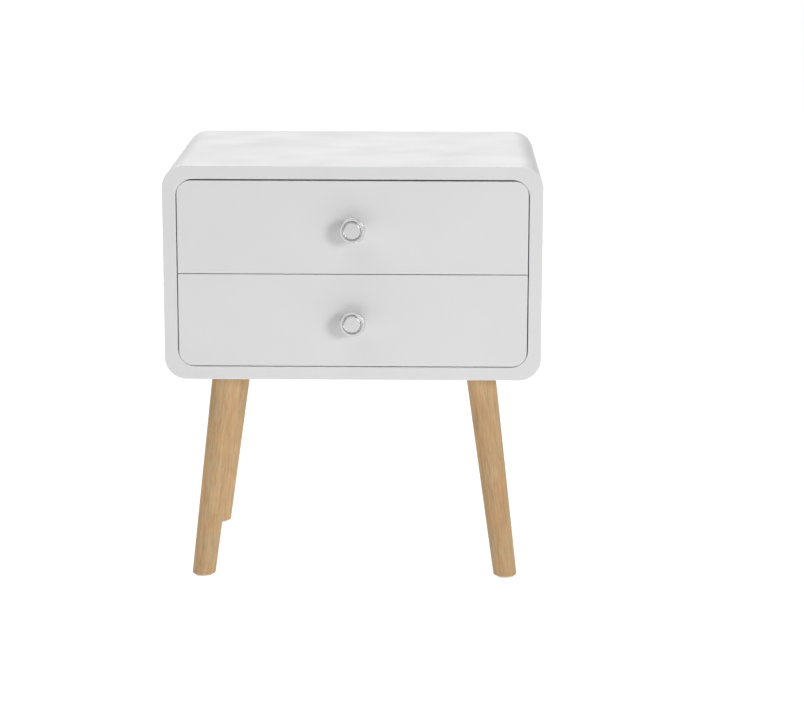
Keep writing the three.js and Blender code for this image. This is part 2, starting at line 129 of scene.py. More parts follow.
def level_with(axis: str, place: float) -> Callable[[bmesh.types.BMEdge], bool]:
    """Makes a test for edges or faces that lie in a plane across an axis.

    Args:
        axis: "X", "Y" or "Z".
        place: where the plane cuts the axis.

    Returns:
        A test that an edge or a face passes if all its corners are in the plane.
    """

    def test(element: bmesh.types.BMEdge) -> bool:
        """True if every corner is in the plane."""
        return all(abs(v.co.dot(AXES[axis]) - place) < NEAR for v in element.verts)

    return test


class Workpiece:
    """One mesh on the bench, shaped by operators as it would be by hand."""

    def __init__(self, name: str) -> None:
        """Takes up the primitive that was just added, with its place put into its mesh.

        Args:
            name: the finished piece's name.
        """
        bpy.ops.object.transform_apply(location=True, rotation=True, scale=True)
        self.object: bpy.types.Object = bpy.context.object
        self.rename(name)

    def rename(self, name: str) -> None:
        """Names the piece and its mesh."""
        self.object.name = name
        self.object.data.name = name

    @classmethod
    def block(cls, name: str, low: Vector, high: Vector) -> "Workpiece":
        """Starts from a cube stretched between two corners.

        Args:
            name: the piece's name.
            low: its lowest corner.
            high: its highest corner.

        Returns:
            The block on the bench.
        """
        clear_selection()
        low, high = Vector(low), Vector(high)
        bpy.ops.mesh.primitive_cube_add(size=1, location=(low + high) / 2, scale=high - low)
        return cls(name)

    @classmethod
    def bar(cls, name: str, start: Vector, end: Vector, radius: float, sides: int) -> "Workpiece":
        """Starts from a round bar between two points.

        Args:
            name: the piece's name.
            start: the middle of one end.
            end: the middle of the other end.
            radius: the bar's radius.
            sides: how many flats make its round.

        Returns:
            The bar on the bench.
        """
        clear_selection()
        start, end = Vector(start), Vector(end)
        run = end - start
        bpy.ops.mesh.primitive_cylinder_add(
            vertices=sides, radius=radius, depth=run.length, location=(start + end) / 2,
            rotation=run.to_track_quat("Z", "Y").to_euler())
        return cls(name)

    @classmethod
    def ball(cls, name: str, centre: Vector, radius: float) -> "Workpiece":
        """Starts from a small ball of few faces.

        Args:
            name: the piece's name.
            centre: its middle.
            radius: its radius.

        Returns:
            The ball on the bench.
        """
        clear_selection()
        bpy.ops.mesh.primitive_ico_sphere_add(subdivisions=2, radius=radius, location=centre)
        return cls(name)

    @classmethod
    def outline(cls, name: str, points: Sequence[Vector]) -> "Workpiece":
        """Starts from one corner and draws a chain of edges from it.

        Args:
            name: the piece's name.
            points: the corners of the chain, in order.

        Returns:
            The open chain on the bench.
        """
        clear_selection()
        bpy.ops.mesh.primitive_plane_add(size=MM, location=points[0])
        piece = cls(name)
        with piece.editing():
            bpy.ops.mesh.select_mode(type=Pick.CORNERS.value)
            bpy.ops.mesh.select_all(action="SELECT")
            bpy.ops.mesh.merge(type="CENTER")
            for last, point in zip(points, points[1:]):
                step = Vector(point) - Vector(last)
                bpy.ops.mesh.extrude_vertices_move(TRANSFORM_OT_translate={"value": step})
        return piece

    @contextmanager
    def editing(self) -> Iterator[None]:
        """Holds the piece in edit mode while the block under it runs.

        Yields:
            Nothing: the block works on the piece itself.
        """
        self.take_up()
        bpy.ops.object.mode_set(mode="EDIT")
        yield
        bpy.ops.object.mode_set(mode="OBJECT")

    def take_up(self) -> None:
        """Makes this the only selected object, and the active one."""
        clear_selection()
        self.object.select_set(True)
        bpy.context.view_layer.objects.active = self.object

    def pick(self, kind: Pick, test: Callable[..., bool]) -> None:
        """Selects what passes a test, and nothing else. The piece is in edit mode.

        Args:
            kind: corners, edges or faces.
            test: says of one of them whether it is picked.
        """
        bpy.ops.mesh.select_mode(type=kind.value)
        bpy.ops.mesh.select_all(action="DESELECT")
        mesh = bmesh.from_edit_mesh(self.object.data)
        elements = {Pick.CORNERS: mesh.verts, Pick.EDGES: mesh.edges, Pick.FACES: mesh.faces}
        for element in elements[kind]:
            if test(element):
                element.select_set(True)
        bmesh.update_edit_mesh(self.object.data)

    def round_edges(self, test: Callable[..., bool], radius: float, segments: int) -> None:
        """Rounds the edges that pass a test.

        Args:
            test: says of an edge whether it is rounded.
            radius: the radius of the round.
            segments: how many flats make it.
        """
        with self.editing():
            self.pick(Pick.EDGES, test)
            bpy.ops.mesh.bevel(offset=radius, segments=segments, affect="EDGES")

    def drop_faces(self, test: Callable[..., bool]) -> None:
        """Takes away some faces, and leaves their edges open.

        Args:
            test: says of a face whether it goes.
        """
        with self.editing():
            self.pick(Pick.FACES, test)
            bpy.ops.mesh.delete(type="FACE")

    def draw_out(self, kind: Pick, test: Callable[..., bool], step: Vector) -> None:
        """Extrudes what passes a test.

        Args:
            kind: corners, edges or faces.
            test: says what is extruded.
            step: how far, and in which direction.
        """
        with self.editing():
            self.pick(kind, test)
            bpy.ops.mesh.extrude_region_move(TRANSFORM_OT_translate={"value": Vector(step)})

    def slice(self, point: Vector, direction: Vector, drop: bool = False) -> None:
        """Cuts the piece with a plane.

        Args:
            point: a point of the plane.
            direction: the plane's normal.
            drop: True to take away what is ahead of the plane, and close the cut.
        """
        with self.editing():
            bpy.ops.mesh.select_all(action="SELECT")
            bpy.ops.mesh.bisect(
                plane_co=point, plane_no=direction, use_fill=drop, clear_outer=drop)

    def join_rings(self, place: float, other: float) -> None:
        """Joins two open rings that face along Y, then brings the second level with the first.

        Args:
            place: the first ring's place along Y, where both end up.
            other: the second ring's place until then.
        """
        with self.editing():
            self.pick(Pick.EDGES, lambda edge: any(
                level_with("Y", y)(edge) for y in (place, other)))
            bpy.ops.mesh.bridge_edge_loops()
            self.pick(Pick.CORNERS, lambda corner: abs(corner.co.y - other) < NEAR)
            bpy.ops.transform.translate(value=(0, place - other, 0))

    def spin(self, centre: Vector, axis: str, steps: int) -> None:
        """Turns the chain of edges once round an axis.

        Args:
            centre: a point on the axis.
            axis: "X", "Y" or "Z".
            steps: how many steps make the turn.
        """
        with self.editing():
            bpy.ops.mesh.select_all(action="SELECT")
            bpy.ops.mesh.spin(
                steps=steps, angle=math.tau, center=centre, axis=AXES[axis])
        self.close_up()

    def close_up(self) -> None:
        """Merges doubled corners, and turns every face outwards."""
        with self.editing():
            bpy.ops.mesh.select_all(action="SELECT")
            bpy.ops.mesh.remove_doubles(threshold=NEAR)
            bpy.ops.mesh.normals_make_consistent(inside=False)

    def take_in(self, others: Sequence["Workpiece"]) -> None:
        """Joins other pieces into this one's mesh.

        Args:
            others: the pieces, which are used up.
        """
        self.take_up()
        for other in others:
            other.object.select_set(True)
        bpy.ops.object.join()

    def modify(self, kind: str, **settings: object) -> None:
        """Adds a modifier and applies it.

        Args:
            kind: the modifier's type.
            **settings: its own properties.
        """
        modifier = self.object.modifiers.new(kind.lower(), kind)
        for name, value in settings.items():
            setattr(modifier, name, value)
        self.take_up()
        bpy.ops.object.modifier_apply(modifier=modifier.name)

    def carve(self, tool: "Workpiece") -> None:
        """Cuts the shape of another piece out of this one.

        Args:
            tool: the other piece, which is used up.
        """
        self.modify("BOOLEAN", operation="DIFFERENCE", solver="EXACT", object=tool.object)
        bpy.data.objects.remove(tool.object)

    def copy(self, name: str, matrix: Matrix) -> "Workpiece":
        """Copies the piece, with a mesh of its own, and moves the copy's mesh.

        Args:
            name: the copy's name.
            matrix: where the copy goes from here.

        Returns:
            The copy on the bench.
        """
        self.take_up()
        bpy.ops.object.duplicate(linked=False)
        bpy.context.object.matrix_world = matrix
        return Workpiece(name)

    def repeat(self, matrices: Sequence[Matrix]) -> "Workpiece":
        """Makes one piece of copies of this one, which is used up.

        Args:
            matrices: where each copy goes from here.

        Returns:
            The copies on the bench, joined, with this piece's name.
        """
        name = self.object.name
        copies = [self.copy(f"{name}_{i}", matrix) for i, matrix in enumerate(matrices)]
        bpy.data.objects.remove(self.object)
        copies[0].take_in(copies[1:])
        copies[0].rename(name)
        return copies[0]

    def soften(self, radius: float, segments: int = 3, sharp_deg: float = 35) -> None:
        """Rounds every sharp edge a little.

        Args:
            radius: the radius of the round.
            segments: how many flats make it.
            sharp_deg: the angle above which an edge counts as sharp, in degrees.
        """
        self.modify("BEVEL", width=radius, segments=segments, limit_method="ANGLE",
                    angle_limit=math.radians(sharp_deg))

    def smooth(self, sharp_deg: float = 40) -> None:
        """Shades round faces smooth, while broad flat faces stay flat.

        Args:
            sharp_deg: the angle above which an edge stays sharp, in degrees.
        """
        self.take_up()
        bpy.ops.object.shade_smooth_by_angle(angle=math.radians(sharp_deg))
        self.modify("WEIGHTED_NORMAL", keep_sharp=True)

    def hand_over(
        self, body: str, slot: Slot, material: bpy.types.Material, *nodes: str,
    ) -> None:
        """Dresses the finished piece and sets it on the body that carries it.

        Args:
            body: the body that it moves with.
            slot: the record's slot that its finish belongs to; not used.
            material: its finish.
            *nodes: the frame's nodes that it stands for.
        """
        dress(self.object, material)
        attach(self.object, body)
        if nodes:
            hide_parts(*nodes)
        LOG.info("%s: %d faces, on %s", self.object.name, len(self.object.data.polygons), body)


def dress(piece: bpy.types.Object, material: bpy.types.Material) -> None:
    """Gives a piece its only material.

    Args:
        piece: the object.
        material: the finish.
    """
    piece.data.materials.clear()
    piece.data.materials.append(material)


# ---- Finishes ----


def linear(colour: str) -> tuple[float, float, float, float]:
    """Turns an sRGB hex colour into the linear one that a shader takes.

    Args:
        colour: six hex digits after a "#".

    Returns:
        Red, green, blue and alpha.
    """
    channels = []
    for start in (1, 3, 5):
        value = int(colour[start:start + 2], 16) / 255
        channels.append(value / 12.92 if value <= 0.04045 else ((value + 0.055) / 1.055) ** 2.4)
    return (*channels, 1.0)


def add_node(
    tree: bpy.types.NodeTree,
    kind: str,
    inputs: dict | None = None,
    stops: Sequence[tuple[float, str]] = (),
    **settings: object,
) -> bpy.types.Node:
    """Adds a node with its settings and its links.

    Args:
        tree: the node tree.
        kind: the node's type.
        inputs: a number, a colour or another node's output for each input's name or number.
        stops: the places and hex colours of a colour ramp.
        **settings: the node's own properties.

    Returns:
        The node.
    """
    node = tree.nodes.new(kind)
    for name, value in settings.items():
        setattr(node, name, value)
    for name, value in (inputs or {}).items():
        if isinstance(value, bpy.types.NodeSocket):
            tree.links.new(value, node.inputs[name])
        else:
            node.inputs[name].default_value = value
    for i, (place, colour) in enumerate(stops):
        ramp = node.color_ramp.elements
        stop = ramp[i] if i < 2 else ramp.new(place)
        stop.position = place
        stop.color = linear(colour)
    return node


def start_material(
    name: str,
) -> tuple[bpy.types.Material, bpy.types.NodeTree, bpy.types.NodeSocket]:
    """Starts a material.

    Args:
        name: the material's name.

    Returns:
        The material, its node tree, and the piece's own coordinates.
    """
    material = bpy.data.materials.new(name)
    material.use_nodes = True
    tree = material.node_tree
    tree.nodes.clear()
    return material, tree, add_node(tree, "ShaderNodeTexCoord").outputs["Object"]


def finish_material(material: bpy.types.Material, inputs: dict) -> bpy.types.Material:
    """Ends a material with a Principled shader on its output.

    Args:
        material: the material.
        inputs: what goes into the shader.

    Returns:
        The same material.
    """
    tree = material.node_tree
    shader = add_node(tree, "ShaderNodeBsdfPrincipled", inputs)
    add_node(tree, "ShaderNodeOutputMaterial", {"Surface": shader.outputs["BSDF"]})
    return material


def streaks(
    tree: bpy.types.NodeTree, place: bpy.types.NodeSocket, size_mm: tuple[float, float, float],
    detail: float, waver: float = 0.0,
) -> bpy.types.NodeSocket:
    """Adds noise that is drawn out to a real size along each axis.

    Args:
        tree: the node tree.
        place: the coordinates.
        size_mm: the size of its streaks along X, Y and Z.
        detail: the noise's detail.
        waver: the noise's distortion.

    Returns:
        The noise's value.
    """
    drawn = add_node(tree, "ShaderNodeMapping", {
        "Vector": place, "Scale": tuple(1 / (size * MM) for size in size_mm)})
    noise = add_node(tree, "ShaderNodeTexNoise", {
        "Vector": drawn.outputs["Vector"], "Scale": 1.0, "Detail": detail, "Distortion": waver})
    return noise.outputs["Fac"]


@dataclass(frozen=True)
class SatinLacquer:
    """White polyurethane lacquer, sprayed on fibreboard and left off the gun.

    The spray flows out into a faint orange peel, so a highlight has a soft, slightly
    uneven edge. The film's gloss wanders a little from place to place.
    """

    name: str = "white_polyurethane_lacquer"
    colour: str = "#DCDCDC"
    shaded_colour: str = "#DADADA"
    roughness: tuple[float, float] = (0.34, 0.42)
    peel_mm: float = 2.4
    drift_mm: float = 70

    def material(self) -> bpy.types.Material:
        """Builds the lacquer.

        Returns:
            The material.
        """
        material, tree, place = start_material(self.name)
        drift = add_node(tree, "ShaderNodeTexNoise", {
            "Vector": place, "Scale": 1 / (self.drift_mm * MM), "Detail": 2.0})
        tint = add_node(
            tree, "ShaderNodeValToRGB", {"Fac": drift.outputs["Fac"]},
            stops=[(0.3, self.shaded_colour), (0.7, self.colour)])
        gloss = add_node(tree, "ShaderNodeMapRange", {
            "Value": drift.outputs["Fac"], "From Min": 0.3, "From Max": 0.7,
            "To Min": self.roughness[0], "To Max": self.roughness[1]})
        peel = add_node(tree, "ShaderNodeTexNoise", {
            "Vector": place, "Scale": 1 / (self.peel_mm * MM), "Detail": 1.0})
        bump = add_node(tree, "ShaderNodeBump", {
            "Height": peel.outputs["Fac"], "Strength": 0.10, "Distance": 0.05 * MM})
        return finish_material(material, {
            "Base Color": tint.outputs["Color"], "Roughness": gloss.outputs["Result"],
            "Normal": bump.outputs["Normal"], "IOR": 1.5})


@dataclass(frozen=True)
class FoilBoard:
    """Chipboard faced with white melamine foil, pressed against a finely embossed plate.

    The emboss runs along the board as a faint grain that breaks its shine.
    """

    name: str = "white_melamine_board"
    colour: str = "#EDECE9"
    shaded_colour: str = "#E4E3DF"
    roughness: float = 0.5
    grain_mm: tuple[float, float, float] = (0.8, 14.0, 0.8)

    def material(self) -> bpy.types.Material:
        """Builds the foil.

        Returns:
            The material.
        """
        material, tree, place = start_material(self.name)
        fibres = streaks(tree, place, self.grain_mm, 3.0)
        tint = add_node(
            tree, "ShaderNodeValToRGB", {"Fac": fibres},
            stops=[(0.3, self.shaded_colour), (0.65, self.colour)])
        bump = add_node(tree, "ShaderNodeBump", {
            "Height": fibres, "Strength": 0.25, "Distance": 0.05 * MM})
        return finish_material(material, {
            "Base Color": tint.outputs["Color"], "Normal": bump.outputs["Normal"],
            "Roughness": self.roughness})


@dataclass(frozen=True)
class OiledOak:
    """Pale oak, turned, sanded along its length and finished with clear matt oil.

    Broad soft bands of early and late wood run up the leg. The oil has gone in unevenly, so
    the tone drifts between grey and ruddy patches, under short fibre lines and fine pores.
    """

    name: str
    lean: float  # the leg's lean from upright, towards +X at the foot, in radians
    light: str = "#D1B48C"
    middle: str = "#C8A77D"
    dark: str = "#BC966D"
    grey_patch: str = "#BFAA88"
    ruddy_patch: str = "#CFA478"
    shade: str = "#D0C3B2"
    pore: str = "#94714E"
    band_mm: tuple[float, float, float] = (9.0, 9.0, 120.0)
    patch_mm: tuple[float, float, float] = (13.0, 13.0, 45.0)
    fibre_mm: tuple[float, float, float] = (1.5, 1.5, 22.0)
    pore_mm: tuple[float, float, float] = (0.9, 0.9, 6.0)
    roughness: tuple[float, float] = (0.6, 0.72)

    def material(self) -> bpy.types.Material:
        """Builds the wood.

        Returns:
            The material.
        """
        material, tree, place = start_material(self.name)
        upright = add_node(tree, "ShaderNodeMapping", {
            "Vector": place, "Rotation": (0, self.lean, 0)}).outputs["Vector"]
        bands = streaks(tree, upright, self.band_mm, 2.0, 0.8)
        patches = streaks(tree, upright, self.patch_mm, 2.0, 0.8)
        fibres = streaks(tree, upright, self.fibre_mm, 3.0, 0.4)
        pores = streaks(tree, upright, self.pore_mm, 2.0)
        ground = add_node(
            tree, "ShaderNodeValToRGB", {"Fac": bands},
            stops=[(0.30, self.dark), (0.72, self.light), (0.50, self.middle)])
        drift = add_node(
            tree, "ShaderNodeValToRGB", {"Fac": patches},
            stops=[(0.36, self.grey_patch), (0.64, self.ruddy_patch)])
        toned = add_node(tree, "ShaderNodeMix", {
            "Factor": 0.45, 6: ground.outputs["Color"], 7: drift.outputs["Color"]},
            data_type="RGBA")
        lines = add_node(
            tree, "ShaderNodeValToRGB", {"Fac": fibres},
            stops=[(0.34, self.shade), (0.60, "#FFFFFF")])
        lined = add_node(tree, "ShaderNodeMix", {
            "Factor": 0.45, 6: toned.outputs[2], 7: lines.outputs["Color"]},
            data_type="RGBA", blend_type="MULTIPLY")
        pore_mask = add_node(tree, "ShaderNodeMapRange", {
            "Value": pores, "From Min": 0.62, "From Max": 0.74, "To Min": 0.0, "To Max": 0.4})
        coloured = add_node(tree, "ShaderNodeMix", {
            "Factor": pore_mask.outputs["Result"], 6: lined.outputs[2], 7: linear(self.pore)},
            data_type="RGBA")
        gloss = add_node(tree, "ShaderNodeMapRange", {
            "Value": fibres, "From Min": 0.3, "From Max": 0.7,
            "To Min": self.roughness[0], "To Max": self.roughness[1]})
        relief = add_node(tree, "ShaderNodeMath", {
            0: fibres, 1: pore_mask.outputs["Result"]}, operation="SUBTRACT")
        bump = add_node(tree, "ShaderNodeBump", {
            "Height": relief.outputs[0], "Strength": 0.3, "Distance": 0.1 * MM})
        return finish_material(material, {
            "Base Color": coloured.outputs[2], "Roughness": gloss.outputs["Result"],
            "Normal": bump.outputs["Normal"], "IOR": 1.45, "Specular IOR Level": 0.2})


@dataclass(frozen=True)
class TurnedChrome:
    """Zinc alloy, turned, polished and chromium plated.

    The plate is bright but not a mirror, and faint rings from the turning run round it.
    """

    name: str
    centre: Vector  # a point on the axis of turning, which runs along Y
    colour: str = "#D8D8D8"
    roughness: tuple[float, float] = (0.26, 0.35)
    ring_mm: float = 4.4  # coarser than real turning marks, so that they show
    wave_angle: float = 20  # a wave at scale 1 turns by this many radians in one unit
    smudge_mm: float = 6

    def material(self) -> bpy.types.Material:
        """Builds the plate.

        Returns:
            The material.
        """
        material, tree, place = start_material(self.name)
        centred = add_node(tree, "ShaderNodeMapping", {
            "Vector": place, "Location": -Vector(self.centre)}).outputs["Vector"]
        rings = add_node(tree, "ShaderNodeTexWave", {
            "Vector": centred, "Scale": math.tau / (self.wave_angle * self.ring_mm * MM),
            "Distortion": 0.6, "Detail": 1.0}, wave_type="RINGS", rings_direction="Y")
        smudge = add_node(tree, "ShaderNodeTexNoise", {
            "Vector": place, "Scale": 1 / (self.smudge_mm * MM), "Detail": 2.0})
        gloss = add_node(tree, "ShaderNodeMapRange", {
            "Value": smudge.outputs["Fac"], "From Min": 0.3, "From Max": 0.7,
            "To Min": self.roughness[0], "To Max": self.roughness[1]})
        bump = add_node(tree, "ShaderNodeBump", {
            "Height": rings.outputs["Fac"], "Strength": 0.02, "Distance": 0.02 * MM})
        return finish_material(material, {
            "Base Color": linear(self.colour), "Roughness": gloss.outputs["Result"],
            "Normal": bump.outputs["Normal"], "Metallic": 1.0})


@dataclass(frozen=True)
class ZincPlate:
    """Steel sheet or wire with a bright zinc plate.

    The plate is grey with a slight blue cast, and it clouds in patches a few millimetres
    wide, where handling has dulled it.
    """

    name: str = "bright_zinc_plated_steel"
    colour: str = "#BFC3C8"
    dull_colour: str = "#A4A8AC"
    roughness: tuple[float, float] = (0.24, 0.42)
    patch_mm: float = 9

    def material(self) -> bpy.types.Material:
        """Builds the plate.

        Returns:
            The material.
        """
        material, tree, place = start_material(self.name)
        patches = add_node(tree, "ShaderNodeTexNoise", {
            "Vector": place, "Scale": 1 / (self.patch_mm * MM), "Detail": 5.0})
        tint = add_node(
            tree, "ShaderNodeValToRGB", {"Fac": patches.outputs["Fac"]},
            stops=[(0.35, self.dull_colour), (0.62, self.colour)])
        gloss = add_node(tree, "ShaderNodeMapRange", {
            "Value": patches.outputs["Fac"], "From Min": 0.35, "From Max": 0.65,
            "To Min": self.roughness[1], "To Max": self.roughness[0]})
        return finish_material(material, {
            "Base Color": tint.outputs["Color"], "Roughness": gloss.outputs["Result"],
            "Metallic": 1.0})


@dataclass(frozen=True)
class MouldedNylon:
    """Natural nylon, injection moulded against a spark-eroded tool.

    It is milky, a little waxy, and finely stippled.
    """

    name: str = "moulded_nylon"
    colour: str = "#E6E4DE"
    shaded_colour: str = "#DEDCD5"
    roughness: float = 0.48
    stipple_mm: float = 0.5

    def material(self) -> bpy.types.Material:
        """Builds the nylon.

        Returns:
            The material.
        """
        material, tree, place = start_material(self.name)
        stipple = add_node(tree, "ShaderNodeTexNoise", {
            "Vector": place, "Scale": 1 / (self.stipple_mm * MM), "Detail": 2.0})
        tint = add_node(
            tree, "ShaderNodeValToRGB", {"Fac": stipple.outputs["Fac"]},
            stops=[(0.3, self.shaded_colour), (0.7, self.colour)])
        bump = add_node(tree, "ShaderNodeBump", {
            "Height": stipple.outputs["Fac"], "Strength": 0.2, "Distance": 0.05 * MM})
        return finish_material(material, {
            "Base Color": tint.outputs["Color"], "Normal": bump.outputs["Normal"],
            "Roughness": self.roughness, "IOR": 1.53, "Subsurface Weight": 0.1})


@dataclass
class Finishes:
    """The finishes that more than one piece shares, each made once."""

    lacquer: bpy.types.Material = field(default_factory=lambda: SatinLacquer().material())
    board: bpy.types.Material = field(default_factory=lambda: FoilBoard().material())
    zinc: bpy.types.Material = field(default_factory=lambda: ZincPlate().material())
    nylon: bpy.types.Material = field(default_factory=lambda: MouldedNylon().material())
    steel: bpy.types.Material = field(default_factory=lambda: ZincPlate(
        name="polished_bearing_steel", colour="#D9DBDE", dull_colour="#C6C9CD",
        roughness=(0.08, 0.14), patch_mm=4).material())


# ---- Fasteners ----


@dataclass
class PanScrew:
    """The head of a pan-head screw with a cross recess, seen above what it holds.

    The shares are parts of its height, or of its radius for the recess's wings.
    """

    radius: float
    height: float
    sides: int = 32
    dome_share: float = 0.7
    wing_shares: tuple[float, float] = (0.56, 0.12)
    recess_floor_share: float = 0.45

    def master(self, name: str) -> Workpiece:
        """Models the head at the origin, with its top towards +Z.

        Args:
            name: the head's name.

        Returns:
            The head on the bench.
        """
        head = Workpiece.bar(
            name, Vector((0, 0, 0)), Vector((0, 0, self.height)), self.radius, self.sides)
        head.round_edges(level_with("Z", self.height), self.height * self.dome_share, segments=4)
        long, short = (self.radius * share for share in self.wing_shares)
        floor = self.height * self.recess_floor_share
        for x, y in ((long, short), (short, long)):
            head.carve(Workpiece.block(
                "recess", Vector((-x, -y, floor)), Vector((x, y, 2 * self.height))))
        head.smooth()
        return head

    def drive(self, name: str, places: Sequence[Vector], direction: Vector) -> Workpiece:
        """Sets heads of this size at several places, as one piece.

        Args:
            name: the piece's name.
            places: the middle of the underside of each head.
            direction: the way the heads face.

        Returns:
            The heads on the bench, joined.
        """
        turn = Vector(direction).to_track_quat("Z", "Y").to_matrix().to_4x4()
        return self.master(name).repeat([Matrix.Translation(place) @ turn for place in places])


# ---- Cabinet ----


def centre_of(low: Vector, high: Vector) -> Vector:
    """The middle of a box."""
    return (low + high) / 2


@dataclass
class CabinetWrap:
    """The lacquered wrap: top, bottom, sides and corner blocks, sprayed over as one."""

    finishes: Finishes
    outer_radius: float = 28 * MM
    opening_radius: float = 22 * MM
    wall: float = 17 * MM
    rebate_width: float = 8 * MM
    rebate_depth: float = 8 * MM
    edge_radius: float = 1.1 * MM
    corner_segments: int = 28
    nodes: tuple[str, ...] = (
        "top_panel", "bottom_panel", "left_side_panel", "right_side_panel",
        "corner_top_left", "corner_top_right", "corner_bottom_left", "corner_bottom_right",
    )

    def _sleeve(self, name: str, low: Vector, high: Vector, radius: float) -> Workpiece:
        """Models an open sleeve with round corners, which runs along Y.

        Args:
            name: the sleeve's name.
            low: its lowest corner.
            high: its highest corner.
            radius: the radius of its corners.

        Returns:
            The sleeve on the bench.
        """
        sleeve = Workpiece.block(name, low, high)
        sleeve.round_edges(along("Y"), radius, self.corner_segments)
        sleeve.drop_faces(lambda face: abs(face.normal.y) > PARALLEL)
        return sleeve

    def build(self) -> None:
        """Models the wrap from three sleeves, one in another, joined at their ends."""
        low = Vector((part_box("left_side_panel")[0].x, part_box("top_panel")[0].y,
                      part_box("bottom_panel")[0].z))
        high = Vector((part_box("right_side_panel")[1].x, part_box("top_panel")[1].y,
                       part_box("top_panel")[1].z))
        ledge = high.y - self.rebate_depth
        inset = Vector((self.wall, 0, self.wall))
        step = Vector((self.rebate_width, 0, self.rebate_width))
        wrap = self._sleeve("cabinet_wrap", low, high, self.outer_radius)
        opening_low, opening_high = low + inset, high - inset
        opening_low.y, opening_high.y = low.y + MM, ledge - MM
        opening = self._sleeve("opening", opening_low, opening_high, self.opening_radius)
        rebate_low, rebate_high = low + inset - step, high - inset + step
        rebate_low.y, rebate_high.y = ledge, high.y - MM
        rebate = self._sleeve(
            "rebate", rebate_low, rebate_high, self.opening_radius + self.rebate_width)
        wrap.take_in([opening, rebate])
        wrap.join_rings(low.y, opening_low.y)
        wrap.join_rings(ledge, opening_high.y)
        wrap.join_rings(high.y, rebate_high.y)
        wrap.close_up()
        wrap.soften(self.edge_radius, segments=4)
        wrap.smooth()
        wrap.hand_over("cabinet", Slot.LACQUER, self.finishes.lacquer, *self.nodes)


@dataclass
class BackPanel:
    """The thin board that closes the back, with the screws that hold it."""

    finishes: Finishes
    corner_radius: float = 29.5 * MM
    edge_radius: float = 0.4 * MM

    def build(self) -> None:
        """Models the board and its screws."""
        low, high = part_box("back_panel")
        board = Workpiece.block("back_board", low, high)
        board.round_edges(along("Y"), self.corner_radius, segments=16)
        board.soften(self.edge_radius, segments=2)
        board.smooth()
        board.hand_over("cabinet", Slot.BOARD, self.finishes.board, "back_panel")
        nodes = sorted(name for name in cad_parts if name.startswith("back_screw_"))
        boxes = [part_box(name) for name in nodes]
        places = [Vector(((a.x + b.x) / 2, high.y, (a.z + b.z) / 2)) for a, b in boxes]
        head_low, head_high = boxes[0]
        screw = PanScrew(radius=(head_high.x - head_low.x) / 2, height=head_high.y - high.y)
        heads = screw.drive("back_screw_heads", places, AXES["Y"])
        heads.hand_over("cabinet", Slot.ZINC, self.finishes.zinc, *nodes)


# ---- Legs ----


